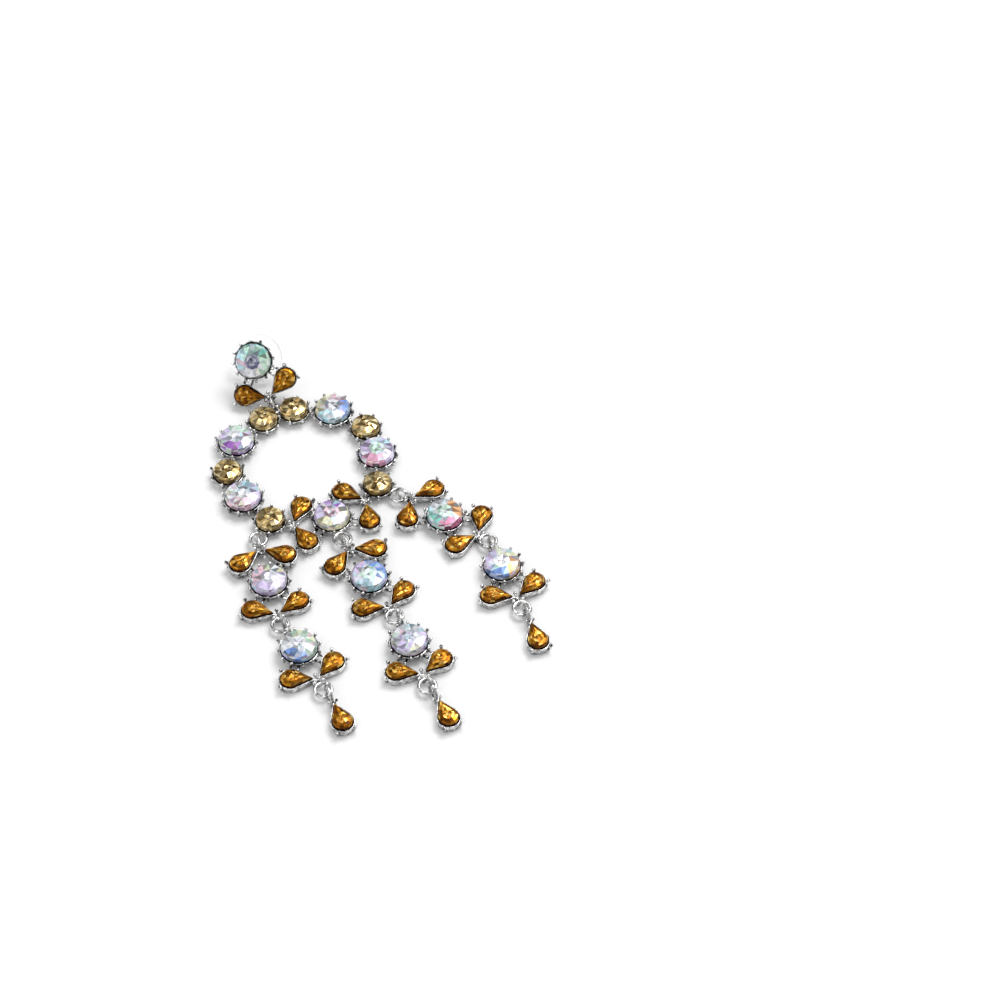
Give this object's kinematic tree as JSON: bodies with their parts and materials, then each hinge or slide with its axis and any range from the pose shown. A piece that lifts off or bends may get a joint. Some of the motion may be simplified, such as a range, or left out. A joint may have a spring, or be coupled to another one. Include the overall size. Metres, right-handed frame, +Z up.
{
  "type": "chandelier earring",
  "caption": "Chandelier earring lying on its back: crystal stud with clear clutch, crystal hoop and strands of linked crystals that end in pear drops.",
  "frame": {"origin": "middle of the bounding box, on the surface that the earring lies on", "axes": "+Y along the hoop's axis towards the stud, +Z up from the castings' flat backs to the stones, +X to the right seen from above"},
  "size_m": [0.0646, 0.1138, 0.0132],
  "materials": {
    "silver": "polished",
    "aurora_crystal": "faceted, aurora coated and foiled",
    "champagne_crystal": "faceted and foiled",
    "amber_crystal": "faceted and foiled",
    "clear_plastic": "clear"
  },
  "bodies": {
    "root": {"clutch_barrel": "silver", "clutch_disc": "clear_plastic", "drop_centre_frame": "silver", "drop_centre_pear": "amber_crystal", "drop_left_frame": "silver", "drop_left_pear": "amber_crystal", "drop_right_frame": "silver", "drop_right_pear": "amber_crystal", "full_centre_crystal": "aurora_crystal", "full_centre_frame": "silver", "full_centre_pear_1": "amber_crystal", "full_centre_pear_2": "amber_crystal", "full_centre_pear_3": "amber_crystal", "full_centre_pear_4": "amber_crystal", "full_left_crystal": "aurora_crystal", "full_left_frame": "silver", "full_left_pear_1": "amber_crystal", "full_left_pear_2": "amber_crystal", "full_left_pear_3": "amber_crystal", "full_left_pear_4": "amber_crystal", "full_right_crystal": "aurora_crystal", "full_right_frame": "silver", "full_right_pear_1": "amber_crystal", "full_right_pear_2": "amber_crystal", "full_right_pear_3": "amber_crystal", "full_right_pear_4": "amber_crystal", "half_centre_crystal": "aurora_crystal", "half_centre_frame": "silver", "half_centre_pear_1": "amber_crystal", "half_centre_pear_2": "amber_crystal", "half_left_crystal": "aurora_crystal", "half_left_frame": "silver", "half_left_pear_1": "amber_crystal", "half_left_pear_2": "amber_crystal", "half_right_crystal": "aurora_crystal", "half_right_frame": "silver", "half_right_pear_1": "amber_crystal", "half_right_pear_2": "amber_crystal", "hoop_champagne_1": "champagne_crystal", "hoop_champagne_2": "champagne_crystal", "hoop_champagne_3": "champagne_crystal", "hoop_champagne_4": "champagne_crystal", "hoop_champagne_5": "champagne_crystal", "hoop_champagne_6": "champagne_crystal", "hoop_crystal_1": "aurora_crystal", "hoop_crystal_2": "aurora_crystal", "hoop_crystal_3": "aurora_crystal", "hoop_crystal_4": "aurora_crystal", "hoop_crystal_5": "aurora_crystal", "hoop_frame": "silver", "hoop_pear_1": "amber_crystal", "hoop_pear_2": "amber_crystal", "hoop_pear_3": "amber_crystal", "hoop_pear_4": "amber_crystal", "stud_crystal": "aurora_crystal", "stud_frame": "silver", "stud_pear_1": "amber_crystal", "stud_pear_2": "amber_crystal"}
  },
  "joints": []
}
